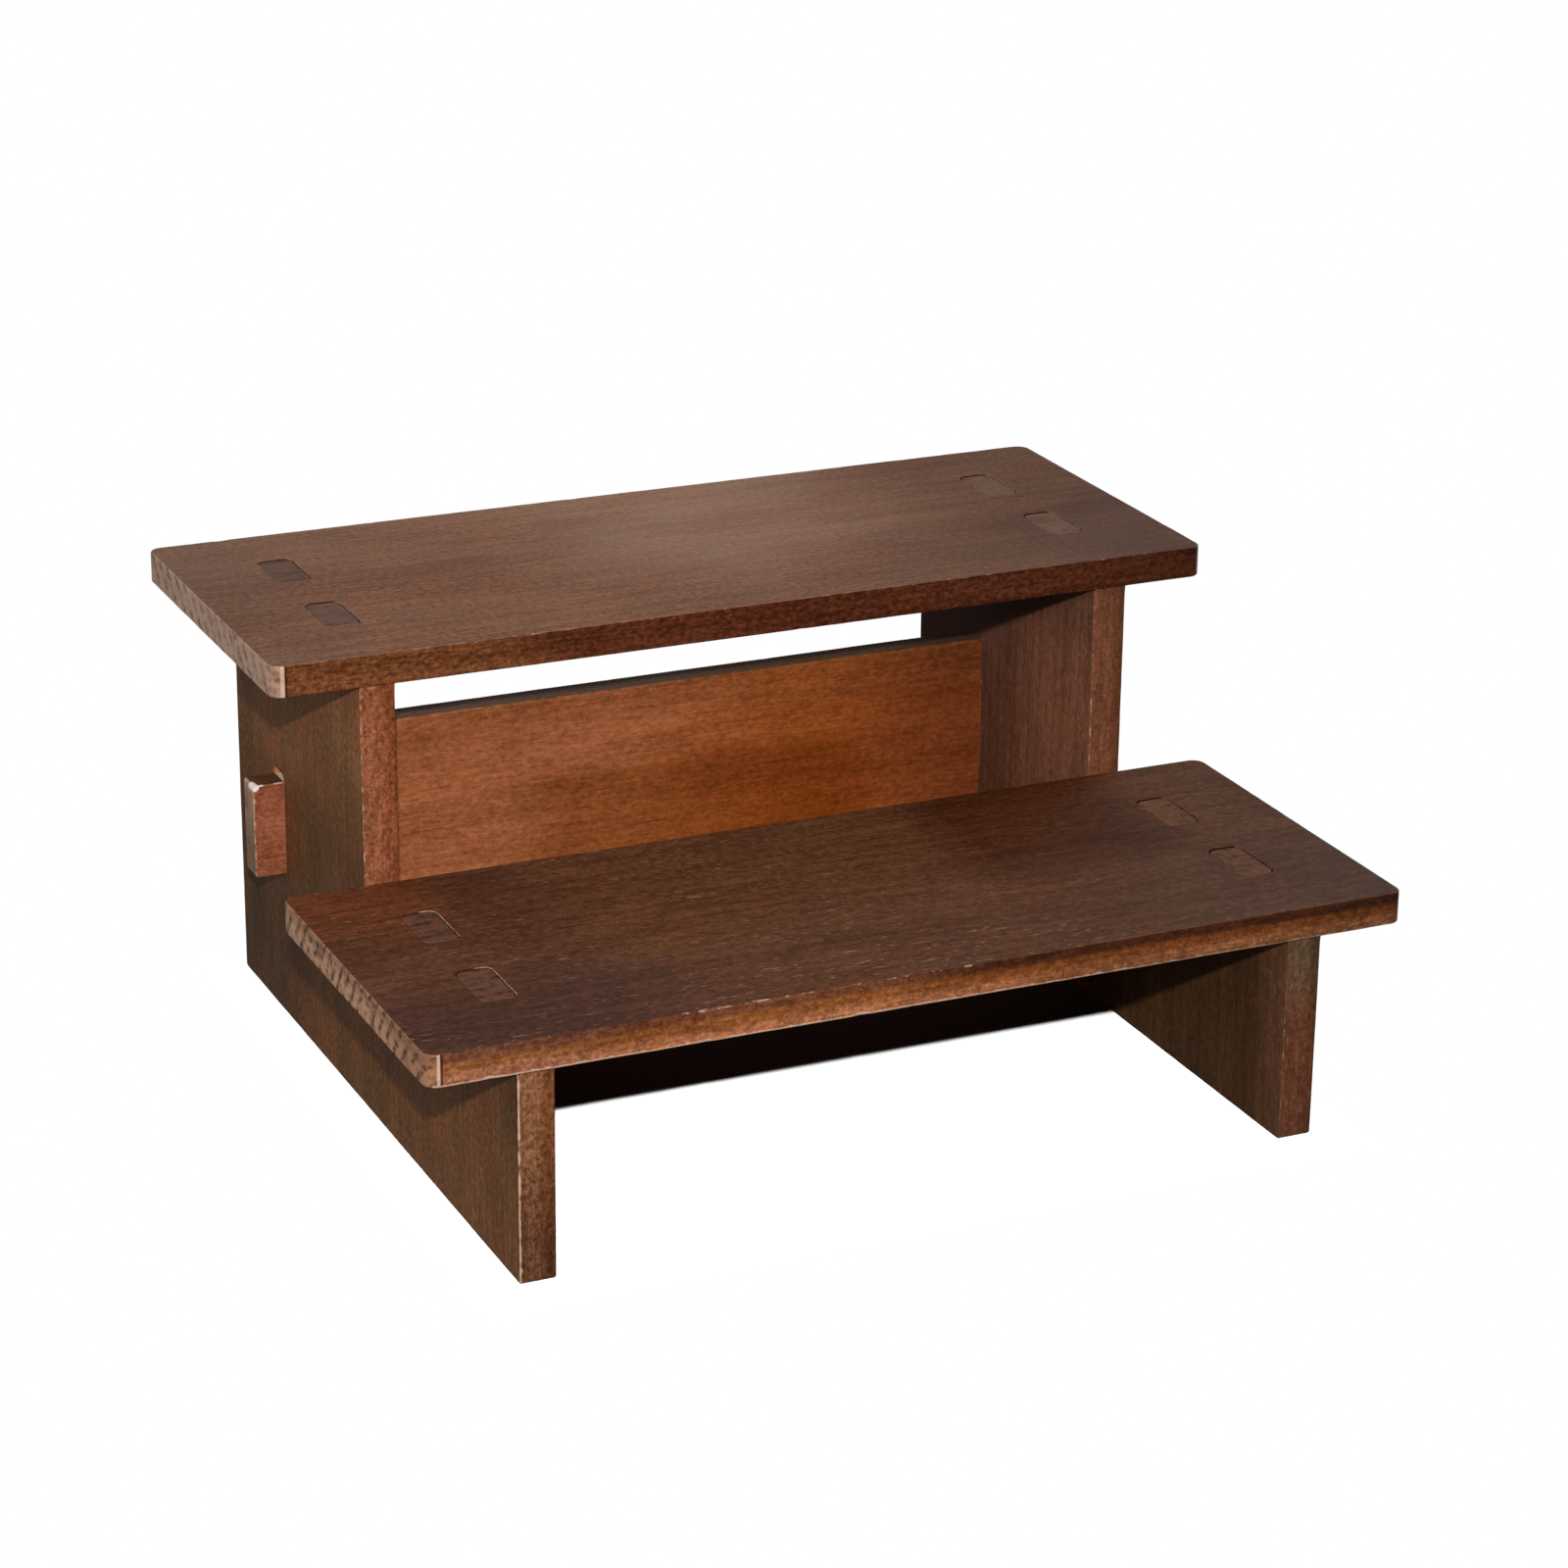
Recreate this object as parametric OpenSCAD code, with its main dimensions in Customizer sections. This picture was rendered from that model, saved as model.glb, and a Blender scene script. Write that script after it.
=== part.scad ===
// Two-step display stand of stained solid wood: two treads, two stepped sides and a back rail.
// The joints are through mortises and tenons. +Z is up, +X runs along the treads, and the front
// faces -Y. The origin lies on the floor, under the middle of the stand.

/* [Treads] */
// Length of each tread, from end to end
tread_l = 450; // [340:5:900]
// Width of each tread, from front to back
tread_w = 182; // [150:1:300]
// Thickness of each tread
tread_t = 14.5; // [10:0.5:28]
// Radius of the treads' corners, seen from above
corner_r = 6; // [2:1:20]
// Length of tread that stands past the outer face of each side
end_overhang = 39.5; // [20:0.5:60]
// Distance by which the lower tread stands in front of the sides
nose = 2.5; // [0:0.5:6]
// Distance by which the upper tread stands past the sides, in front and behind
edge_overhang = 1; // [0:0.5:5]

/* [Heights] */
// Height of the lower tread's top above the floor
lower_h = 109.5; // [80:0.5:220]
// Rise from the lower tread's top to the upper tread's top
step_rise = 103; // [75:0.5:200]

/* [Sides] */
// Thickness of the side boards
side_t = 16; // [12:0.5:28]
// Gap between the lower tread's back edge and the sides' tall part
riser_gap = 5.5; // [0.5:0.5:12]

/* [Tread joints] */
// Width of each tenon on the sides, from front to back
tenon_w = 33; // [20:1:45]
// Space between the two tenons that hold one tread
tenon_space = 34; // [15:1:60]
// Distance of each pair of tenons behind the middle of its tread
tenon_setback = 2; // [0:0.5:6]
// Depth of the tenons' tops below the tread's top
tenon_recess = 0.3; // [0:0.1:1]
// Radius that the cutter leaves in the corners of a mortise
mortise_r = 4; // [1:0.5:5.5]
// Gap at each end of a tread's tenon
end_gap = 0.8; // [0.2:0.1:1.5]
// Gap at each cheek of every tenon
cheek_gap = 0.2; // [0.1:0.1:0.5]

/* [Back rail] */
// Thickness of the back rail
rail_t = 14; // [10:0.5:24]
// Height of the back rail
rail_h = 91; // [60:1:125]
// Open height between the back rail and the upper tread
rail_drop = 58.5; // [20:0.5:85]
// Distance from the tall part's front edge to the rail's front face
rail_setback = 112; // [40:1:140]
// Height of the rail's tenons
rail_tenon_h = 45; // [25:1:55]
// Length of the rail's tenons that stands out of each side
rail_tenon_out = 14.5; // [0:0.5:18]
// Free height above the rail's tenon in its mortise
headroom = 4.5; // [1:0.5:10]

/* [Hidden] */
$fn = 48;
over = 1;
upper_h = lower_h + step_rise;
low_top = lower_h - tread_t;
tall_top = upper_h - tread_t;
low_d = tread_w - nose + riser_gap;
tall_d = tread_w - 2 * edge_overhang;
stand_d = nose + low_d + tall_d + edge_overhang;

lower_y = -stand_d / 2;
side_y = lower_y + nose;
riser_y = side_y + low_d;
upper_y = riser_y - edge_overhang;
outer_x = tread_l / 2 - end_overhang;
inner_x = outer_x - side_t;

rail_y = riser_y + rail_setback;
rail_z = tall_top - rail_drop - rail_h;
rail_tenon_z = rail_z + (rail_h - rail_tenon_h) / 2;
rail_tenon_x = outer_x + rail_tenon_out;

tenon_pitch = tenon_w + tenon_space;

// Rectangle with round corners, centred on the origin
module round_rect(w, d, r) {
    square([w - 2 * r, d], center = true);
    square([w, d - 2 * r], center = true);
    for (x = [-1, 1], y = [-1, 1])
        translate([x * (w / 2 - r), y * (d / 2 - r)])
            circle(r);
}

// Puts its children at the two tenons of a tread whose front edge lies at y
module at_tenons(y) {
    middle = y + tread_w / 2 + tenon_setback;
    for (k = [-0.5, 0.5])
        translate([0, middle + k * tenon_pitch, 0])
            children();
}

// A tread with its four through mortises, its top at height z and its front edge at y
module tread(y, z) {
    side_x = inner_x + side_t / 2;
    difference() {
        translate([0, y + tread_w / 2, z - tread_t])
            linear_extrude(tread_t)
                round_rect(tread_l, tread_w, corner_r);
        for (x = [-side_x, side_x])
            translate([x, 0, z - tread_t - over])
                at_tenons(y)
                    linear_extrude(tread_t + 2 * over)
                        round_rect(side_t + 2 * cheek_gap, tenon_w + 2 * end_gap, mortise_r);
    }
}

// The pair of tenons that stands up from height z through a tread
module tread_tenons(y, z) {
    translate([side_t / 2, 0, z - over])
        at_tenons(y)
            linear_extrude(tread_t - tenon_recess + over)
                round_rect(side_t, tenon_w, mortise_r);
}

// Mortise for the rail's tenon. Its upper corners keep the cutter's radius, and its lower ones are
// square, so that the tenon sits on the mortise's floor
module rail_mortise() {
    w = rail_t + 2 * cheek_gap;
    h = rail_tenon_h + headroom;
    translate([-over, rail_y - cheek_gap, rail_tenon_z])
        rotate([90, 0, 90])
            linear_extrude(side_t + 2 * over) {
                square([w, h - mortise_r]);
                translate([mortise_r, 0])
                    square([w - 2 * mortise_r, h]);
                for (y = [mortise_r, w - mortise_r])
                    translate([y, h - mortise_r])
                        circle(mortise_r);
            }
}

// One side in its own frame: its faces lie at x = 0 and x = side_t
module side() {
    difference() {
        union() {
            translate([0, side_y, 0])
                cube([side_t, low_d + tall_d, low_top]);
            translate([0, riser_y, 0])
                cube([side_t, tall_d, tall_top]);
            tread_tenons(lower_y, low_top);
            tread_tenons(upper_y, tall_top);
        }
        rail_mortise();
    }
}

module upper_tread() {
    color([0.30, 0.17, 0.12])
        tread(upper_y, upper_h);
}

module lower_tread() {
    color([0.27, 0.15, 0.10])
        tread(lower_y, lower_h);
}

module left_side() {
    color([0.33, 0.20, 0.13])
        translate([-outer_x, 0, 0])
            side();
}

module right_side() {
    color([0.36, 0.21, 0.14])
        translate([inner_x, 0, 0])
            side();
}

// The rail's shoulders meet the sides' inner faces, and its tenons run on through both sides
module back_rail() {
    color([0.45, 0.22, 0.11])
        union() {
            translate([-inner_x, rail_y, rail_z])
                cube([2 * inner_x, rail_t, rail_h]);
            translate([-rail_tenon_x, rail_y, rail_tenon_z])
                cube([2 * rail_tenon_x, rail_t, rail_tenon_h]);
        }
}

upper_tread();
lower_tread();
left_side();
right_side();
back_rail();
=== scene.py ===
import math

import bmesh
import bpy
from mathutils import Matrix, Vector, noise


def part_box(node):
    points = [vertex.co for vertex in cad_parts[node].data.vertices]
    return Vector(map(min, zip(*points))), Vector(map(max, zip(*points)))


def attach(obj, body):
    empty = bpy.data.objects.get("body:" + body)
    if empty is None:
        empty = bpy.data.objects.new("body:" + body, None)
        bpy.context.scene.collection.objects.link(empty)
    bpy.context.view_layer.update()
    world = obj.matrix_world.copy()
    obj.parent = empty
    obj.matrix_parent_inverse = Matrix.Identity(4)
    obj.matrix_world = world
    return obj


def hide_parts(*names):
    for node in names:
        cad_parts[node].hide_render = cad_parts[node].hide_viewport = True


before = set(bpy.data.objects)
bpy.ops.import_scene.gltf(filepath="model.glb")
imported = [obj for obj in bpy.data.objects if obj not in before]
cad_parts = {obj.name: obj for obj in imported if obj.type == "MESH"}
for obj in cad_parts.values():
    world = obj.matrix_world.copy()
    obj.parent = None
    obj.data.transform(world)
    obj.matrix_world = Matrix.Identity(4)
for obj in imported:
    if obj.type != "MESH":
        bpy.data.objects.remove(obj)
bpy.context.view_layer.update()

# The two stepped side boards
# Each is a softwood panel with upright grain, sawn to a step and eased by hand along its edges. Two
# tenons stand up from each shoulder into a tread, and a slot in the tall part takes the rail's tenon.
MM = 0.001
TOUCHING = 0.0001 * MM
SPACING = 4 * MM
ARC_STEP = math.radians(12)
SHARPEST_MITRE = 0.5
FLAT_FACE_WEIGHT = 100

# Degrees round an eased edge, from the face on to the wall, with the share of the wear at each
EDGE_WEAR = {90: 0.6, 60: 1.0, 30: 1.0, 0: 0.6}
# The rows of points that lie on a board's wall, of the twelve that run from face to face
WALL_ROWS = range(len(EDGE_WEAR), len(EDGE_WEAR) + 4)

# A hand-eased edge wanders and has knocks, so many to the metre and with these shares of its radius
WANDERS = 70
WANDER = 0.35
KNOCKS = 160
KNOCK = 1.6
KNOCK_FROM = 0.35
KNOCK_SHIFT = 9.5
# How fast the easing of an edge grows with the distance from a joint
EASE_SLOPE = 0.35
LITTLE_WEAR = 0.1
RISER_WEAR = 0.55

SIDE_EASE = 0.8 * MM
SIDE_BORDER = 0.8 * MM
SIDE_CORNER = 2.0 * MM
SHOULDER_EASE = 0.15 * MM
SHOULDER_CORNER = 0.3 * MM
RISER_GAP = 5.5 * MM

TENON_WIDTH = 33 * MM
TENON_PITCH = 67 * MM
TENON_SETBACK = 2 * MM
TENON_CORNER = 4 * MM
TENON_INSET = 0.25 * MM
TENON_EASE = 0.4 * MM
TENON_RECESS = 0.3 * MM

SLOT_CHEEK_GAP = 0.2 * MM
SLOT_HEADROOM = 4.5 * MM
SLOT_CORNER = 4 * MM
SLOT_EASE = 0.5 * MM
SLOT_EASE_RISE = 10 * MM
RAIL_TENON_HEIGHT = 45 * MM

BARE_WOOD = (0.60, 0.40, 0.29, 1)
CUT_WOOD = (0.37, 0.16, 0.08, 1)
FLECK = (0.42, 0.26, 0.18, 1)
# The colour of the pale patches, which on the treads' tops are painted sheen
PALE_PATCH = (0.75, 0.58, 0.46, 1)


def rounded_path(corners, spacing):
    """Points round a closed outline of (u, v, radius) corners, its straight runs cut to the spacing."""
    arcs = []
    for i, (u, v, radius) in enumerate(corners):
        corner = Vector((u, v))
        into = (corner - Vector(corners[i - 1][:2])).normalized()
        away = (Vector(corners[(i + 1) % len(corners)][:2]) - corner).normalized()
        turn = math.atan2(into.cross(away), into.dot(away))
        start = corner - into * radius * math.tan(abs(turn) / 2)
        left = Vector((-into.y, into.x)) * math.copysign(radius, turn)
        steps = max(2, round(abs(turn) / ARC_STEP))
        turns = [Matrix.Rotation(turn * k / steps, 2) for k in range(steps + 1)]
        arcs.append([start + left - turned @ left for turned in turns])
    points = []
    for i, arc in enumerate(arcs):
        points += arc
        run = arcs[(i + 1) % len(arcs)][0] - arc[-1]
        cuts = max(1, round(run.length / spacing))
        points += [arc[-1] + run * k / cuts for k in range(1, cuts)]
    return points


def round_box(u, v, width, depth, radius, spacing):
    """The outline of a rounded rectangle, centred on (u, v)."""
    signs = ((-1, -1), (1, -1), (1, 1), (-1, 1))
    return rounded_path([(u + a * width / 2, v + b * depth / 2, radius) for a, b in signs], spacing)


def inward(points):
    """The mitred direction from each outline point into the wood, which lies on the outline's left."""
    directions = []
    for i, point in enumerate(points):
        into = (point - points[i - 1]).normalized()
        away = (points[(i + 1) % len(points)] - point).normalized()
        left = Vector((-into.y, into.x))
        mean = (left + Vector((-away.y, away.x))).normalized()
        directions.append(mean / max(mean.dot(left), SHARPEST_MITRE))
    return directions


def worn_ease(radius, point, seed):
    """The radius of an edge that was eased by hand, so it wanders, and has a knock here and there."""
    wander = noise.noise(Vector((point.x * WANDERS, point.y * WANDERS, seed)))
    knock = noise.noise(Vector((point.x * KNOCKS, point.y * KNOCKS, seed + KNOCK_SHIFT)))
    return radius * (1 + WANDER * wander + KNOCK * max(0.0, knock - KNOCK_FROM))


def new_mesh():
    """An empty mesh whose points say how worn an edge is, and where the wood is bare of stain."""
    mesh = bmesh.new()
    mesh.verts.layers.float.new("wear")
    mesh.verts.layers.float.new("bare")
    return mesh


def even(value):
    """An easing or a wear that is the same at every point of an outline."""
    return lambda point: value


def edge_rows(mesh, points, level, way, ease, border, lay, wear=even(0.0)):
    """Six rows of points over the edge of a board, from its face at the level on to its wall.

    way is the wall's direction from the face, ease(point) the edge's radius and border the strip
    that is kept flat beside it. lay turns (u, v, level) into a place in the part's frame.
    """
    wear_layer = mesh.verts.layers.float["wear"]
    rings = []
    for point, direction in zip(points, inward(points)):
        radius = ease(point)
        ring = [(radius + border, 0, 0)]
        for degrees, rub in EDGE_WEAR.items():
            angle = math.radians(degrees)
            inset = radius * (1 - math.cos(angle))
            depth = radius * (1 - math.sin(angle))
            ring.append((inset, depth, rub * wear(point)))
        ring.append((0, radius + border, 0))
        rings.append((point, direction, ring))
    rows = []
    for k in range(len(EDGE_WEAR) + 2):
        row = []
        for point, direction, ring in rings:
            inset, depth, rub = ring[k]
            spot = point + direction * inset
            vertex = mesh.verts.new(lay(spot.x, spot.y, level + way * depth))
            vertex[wear_layer] = rub
            row.append(vertex)
        rows.append(row)
    return rows


def skin(mesh, rows, gap=()):
    """Joins neighbouring rows with faces. The walls are left out at the points in gap."""
    count = len(rows[0])
    for k, (above, below) in enumerate(zip(rows, rows[1:])):
        for i in range(count):
            if i in gap and k in WALL_ROWS[:-1]:
                continue
            j = (i + 1) % count
            mesh.faces.new((above[i], above[j], below[j], below[i]))


def fill(mesh, *loops):
    """Closes a flat face whose outline and holes are given as rings of points."""
    edges = []
    for loop in loops:
        for a, b in zip(loop, loop[1:] + loop[:1]):
            edges.append(mesh.edges.get((a, b)) or mesh.edges.new((a, b)))
    bmesh.ops.triangle_fill(mesh, use_beauty=True, edges=edges)


def board(mesh, name, material, node):
    """Turns a finished mesh into the piece that stands for a node of the frame."""
    bmesh.ops.recalc_face_normals(mesh, faces=mesh.faces)
    data = bpy.data.meshes.new(name)
    mesh.to_mesh(data)
    mesh.free()
    data.shade_smooth()
    data.materials.append(material)
    piece = bpy.data.objects.new(name, data)
    bpy.context.scene.collection.objects.link(piece)
    piece.modifiers.new("flat_faces", "WEIGHTED_NORMAL").weight = FLAT_FACE_WEIGHT
    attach(piece, "root")
    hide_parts(node)


class Recipe:
    """The nodes of a material or a world. Each method adds a few and gives back the output socket."""

    def __init__(self, owner):
        self.owner = owner
        self.owner.use_nodes = True
        self.tree = self.owner.node_tree
        self.tree.nodes.clear()

    def add(self, kind, inputs=None, out=0, **settings):
        """Adds a node. inputs gives its sockets a number, a colour or another node's output."""
        node = self.tree.nodes.new("ShaderNode" + kind)
        for key, value in settings.items():
            setattr(node, key, value)
        for key, value in (inputs or {}).items():
            if isinstance(value, bpy.types.NodeSocket):
                self.tree.links.new(value, node.inputs[key])
            else:
                node.inputs[key].default_value = value
        return node.outputs[out] if node.outputs else None

    def maths(self, operation, *values):
        return self.add("Math", dict(enumerate(values)), operation=operation)

    def times(self, first, *others):
        """The product of some shares."""
        for other in others:
            first = self.maths("MULTIPLY", first, other)
        return first

    def vary(self, value, source, amount):
        """Adds to a value what the source strays from one half, times the amount."""
        return self.maths("ADD", value, self.maths("MULTIPLY_ADD", source, amount, -amount / 2))

    def rise(self, value, start, end):
        """Goes smoothly from 0 to 1 while the value goes from start to end, up or down."""
        inputs = {"Value": value, "From Min": start, "From Max": end}
        return self.add("MapRange", inputs, interpolation_type="SMOOTHSTEP")

    def mix(self, share, first, second, blend="MIX"):
        """Mixes two colours, whose sockets on the node are 6 and 7, and 2 for the result."""
        inputs = {0: share, 6: first, 7: second}
        return self.add("Mix", inputs, out=2, data_type="RGBA", blend_type=blend)

    def ramp(self, value, *stops):
        """The colour for a value, through stops of (position, colour)."""
        output = self.add("ValToRGB", {0: value})
        elements = output.node.color_ramp.elements
        while len(elements) < len(stops):
            elements.new(0.5)
        for element, (position, colour) in zip(elements, stops):
            element.position = position
            element.color = (*colour, 1)
        return output


class Wood(Recipe):
    """Stained softwood. order names the axes along the grain, across the board and through it.

    The seed shifts the noise, so that no two boards are alike.
    """

    def __init__(self, name, order, seed):
        super().__init__(bpy.data.materials.new(name))
        self.seed = seed
        place = self.add("TexCoord", out="Object")
        self.spot = self.add("SeparateXYZ", {0: place}).node.outputs
        self.looks = self.add("SeparateXYZ", {0: self.add("TexCoord", out="Normal")}).node.outputs
        self.long, self.across, self.through = (self.spot[axis] for axis in order)
        self.grain = self.add("CombineXYZ", {0: self.long, 1: self.across, 2: self.through})
        self.end_on = self.maths("ABSOLUTE", self.looks[order[0]])
        self.rubbed = 0.0

    def noise(self, stretch, shift, detail=2.0, roughness=0.5):
        """Noise with so many cells to the metre along, across and through the grain."""
        inputs = {0: self.grain, 1: stretch, 2: (self.seed + shift, self.seed - shift, shift)}
        spread = self.add("VectorMath", inputs, operation="MULTIPLY_ADD")
        inputs = {"Vector": spread, "Scale": 1.0, "Detail": detail, "Roughness": roughness}
        return self.add("TexNoise", inputs)

    def facing(self, axis, sign):
        """1 on faces that look along the axis, and 0 elsewhere."""
        return self.rise(self.maths("MULTIPLY", self.looks[axis], sign), 0.5, 0.8)

    def near(self, axis, start, end):
        """Rises from 0 at start to 1 at end, both places along an axis of the part."""
        return self.rise(self.spot[axis], start, end)

    def rings(self, pitch, pith, band):
        """Growth rings round the pith (across, through). Late wood fills the band, a share of each."""
        drift = self.maths("MULTIPLY_ADD", self.noise((2.5, 7, 7), shift=1), 0.03, -0.015)
        across = self.maths("SUBTRACT", self.maths("ADD", self.across, drift), pith[0])
        through = self.maths("SUBTRACT", self.through, pith[1])
        spoke = self.add("CombineXYZ", {0: across, 1: through})
        reach = self.add("VectorMath", {0: spoke}, out="Value", operation="LENGTH")
        turns = self.maths("DIVIDE", reach, pitch)
        ring = self.maths("FRACT", turns)
        self.late = self.times(self.rise(ring, 0.90 - band, 1.02 - band), self.rise(ring, 0.98, 0.90))
        self.year = self.add("TexWhiteNoise", {"W": self.maths("FLOOR", turns)}, noise_dimensions="1D")

    def stain(self, dark, middle, light, speckle, streak):
        """The long grain's colour: clouds of stain, fine fibres, sanding marks and open pores."""
        self.fibre = self.noise((24, 700, 700), shift=2, detail=4, roughness=0.65)
        self.hair = self.noise((110, 2400, 2400), shift=3)
        self.sand = self.noise((320, 480, 480), shift=6, detail=4, roughness=0.7)
        tone = self.vary(0.5, self.noise((8, 40, 40), shift=4, detail=3, roughness=0.55), 0.65)
        tone = self.vary(tone, self.noise((24, 90, 90), shift=5), 0.5)
        tone = self.vary(tone, self.fibre, streak)
        tone = self.vary(tone, self.hair, 0.6 * streak)
        tone = self.vary(tone, self.sand, speckle)
        tone = self.vary(tone, self.year, 0.08)
        tone = self.vary(tone, self.late, -0.10)
        self.colour = self.ramp(tone, (0.1, dark), (0.5, middle), (0.9, light))
        self.pores = self.rise(self.noise((60, 1300, 1300), shift=7), 0.60, 0.72)
        self.colour = self.mix(self.maths("MULTIPLY", self.pores, 0.6), self.colour, (*dark, 1))

    def flecks(self, share):
        """Small light scratches, in loose groups."""
        marks = self.rise(self.noise((170, 900, 900), shift=8), 0.64, 0.72)
        groups = self.rise(self.noise((12, 26, 26), shift=9), 0.40, 0.60)
        self.colour = self.mix(self.times(marks, groups, share), self.colour, FLECK)

    def tint(self, share, tint):
        """Multiplies the colour by a tint over the given share."""
        self.colour = self.mix(share, self.colour, (*tint, 1), "MULTIPLY")

    def specks(self, share):
        """Dark and light dots, where the stain took unevenly on a sawn edge."""
        dots = self.noise((560, 640, 640), shift=14, detail=2, roughness=0.6)
        self.tint(self.times(self.rise(dots, 0.52, 0.64), share), (0.60, 0.54, 0.48))
        self.tint(self.times(self.rise(dots, 0.46, 0.34), share), (1.40, 1.45, 1.6))

    def patches(self, shift, share, tint):
        """Multiplies the colour by a tint in soft patches a few centimetres across."""
        patch = self.rise(self.noise((24, 34, 34), shift=shift, detail=2), 0.38, 0.66)
        self.tint(self.times(patch, share), tint)

    def ends(self, pale, dark, ringed=0.25, marked=0.35, corner=0.0):
        """End grain on the faces that cut the grain, with its late wood and its short dark marks.

        pale and dark are its colours, ringed and marked how strongly the late wood and the marks
        show. corner takes in faces that the direction of the grain alone would leave out.
        """
        speck = self.noise((500, 500, 500), shift=10, detail=3, roughness=0.6)
        dashes = self.noise((200, 120, 300), shift=11, detail=3, roughness=0.6)
        blocks = self.rise(self.noise((90, 130, 220), shift=15), 0.36, 0.60)
        blocks = self.maths("MULTIPLY_ADD", blocks, 0.7, 0.3)
        marks = self.rise(self.noise((90, 240, 60), shift=18, detail=2), 0.48, 0.60)
        marks = self.maths("MULTIPLY", marks, marked)
        tone = self.maths("MAXIMUM", self.times(self.late, blocks, ringed), marks)
        tone = self.vary(tone, speck, 1.4)
        tone = self.vary(tone, dashes, 2.2)
        tone = self.vary(tone, self.year, 0.3)
        end = self.ramp(tone, (0.0, pale), (1.0, dark))
        self.cut = self.maths("MAXIMUM", self.rise(self.end_on, 0.45, 0.65), corner)
        self.colour = self.mix(self.cut, self.colour, end)

    def pale_patches(self, share):
        """Pale patches, which on the treads' tops are painted sheen."""
        patch = self.maths("MULTIPLY_ADD", self.noise((14, 26, 26), shift=12, detail=3), 0.8, 0.3)
        self.colour = self.mix(self.times(patch, share), self.colour, PALE_PATCH)

    def finish(self, opened=BARE_WOOD, gloss=0.3):
        """Rubs the worn edges through to bare wood, adds the relief and closes the material.

        opened is the colour of wood that is bare because it was cut or broken.
        """
        rub = self.noise((220, 260, 260), shift=13, detail=3, roughness=0.6)
        wear = self.add("Attribute", out="Fac", attribute_name="wear")
        bare = self.add("Attribute", out="Fac", attribute_name="bare")
        worn = self.rise(self.vary(wear, rub, 1.4), 0.50, 0.80)
        open_wood = self.maths("MAXIMUM", self.rise(self.vary(bare, rub, 0.8), 0.40, 0.60), self.rubbed)
        pale = self.mix(open_wood, BARE_WOOD, opened)
        pale = self.mix(self.maths("MULTIPLY", self.fibre, 0.4), pale, self.colour)
        raw = self.maths("MULTIPLY", self.maths("MAXIMUM", worn, open_wood), 0.85)
        colour = self.mix(raw, self.colour, pale)

        rough = self.maths("MULTIPLY_ADD", self.fibre, 0.22, 0.44)
        rough = self.maths("MULTIPLY_ADD", raw, 0.2, rough)
        height = self.maths("MULTIPLY_ADD", self.fibre, 0.5, self.maths("MULTIPLY", self.hair, 0.4))
        height = self.maths("MULTIPLY_ADD", self.pores, -0.8, height)
        height = self.maths("MULTIPLY_ADD", rub, 0.6, height)
        relief = self.add("Bump", {"Height": height, "Strength": 0.4, "Distance": 0.25 * MM})
        inputs = {
            "Base Color": colour,
            "Roughness": rough,
            "Normal": relief,
            "Specular IOR Level": gloss,
        }
        self.add("OutputMaterial", {"Surface": self.add("BsdfPrincipled", inputs)})
        return self.owner


def tenon_centres(tread):
    """The middle of each of a tread's two tenons, from front to back."""
    low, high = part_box(tread)
    middle = (low.y + high.y) / 2 + TENON_SETBACK
    return [middle - TENON_PITCH / 2, middle + TENON_PITCH / 2]


def shoulder_run(points, height):
    """The outline's stretches that lie on a shoulder, as the indices of their first points."""
    on = [abs(point.y - height) < TOUCHING for point in points]
    return [i for i in range(len(points)) if on[i] and on[(i + 1) % len(points)]]


def upright(u, v, level):
    """Lays an outline drawn in Y and Z on a board that stands across X."""
    return level, u, v


def flat(u, v, level):
    """Lays an outline drawn in X and Y on a board that lies level."""
    return u, v, level


low_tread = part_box("lower_tread")
top_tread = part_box("upper_tread")
rail_low, rail_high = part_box("back_rail")
LOW_SHOULDER = low_tread[0].z
TALL_SHOULDER = top_tread[0].z
RISER_Y = low_tread[1].y + RISER_GAP
RAIL_TENON_LOW = (rail_low.z + rail_high.z - RAIL_TENON_HEIGHT) / 2
RAIL_TENON_TOP = RAIL_TENON_LOW + RAIL_TENON_HEIGHT


def add_tenons(mesh, tread, rows, run, low, high):
    """Closes one shoulder of a side board with its two tenons standing on it."""
    shoulder, tread_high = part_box(tread)
    feet = []
    for y in tenon_centres(tread):
        thickness = high.x - low.x - 2 * TENON_INSET
        plan = round_box((low.x + high.x) / 2, y, thickness, TENON_WIDTH, TENON_CORNER, SPACING / 2)
        top = tread_high.z - TENON_RECESS
        tenon = edge_rows(mesh, plan, top, -1, even(TENON_EASE), TENON_EASE, flat)
        tenon.append([mesh.verts.new((vertex.co.x, vertex.co.y, shoulder.z)) for vertex in tenon[-1]])
        skin(mesh, tenon)
        fill(mesh, tenon[0])
        feet.append(tenon[-1])
    wall = [rows[k][run[0]:run[-1] + 2] for k in WALL_ROWS]
    ends = [wall[1][-1], wall[2][-1]]
    starts = [wall[2][0], wall[1][0]]
    fill(mesh, wall[0] + ends + wall[3][::-1] + starts, *feet)


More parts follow.
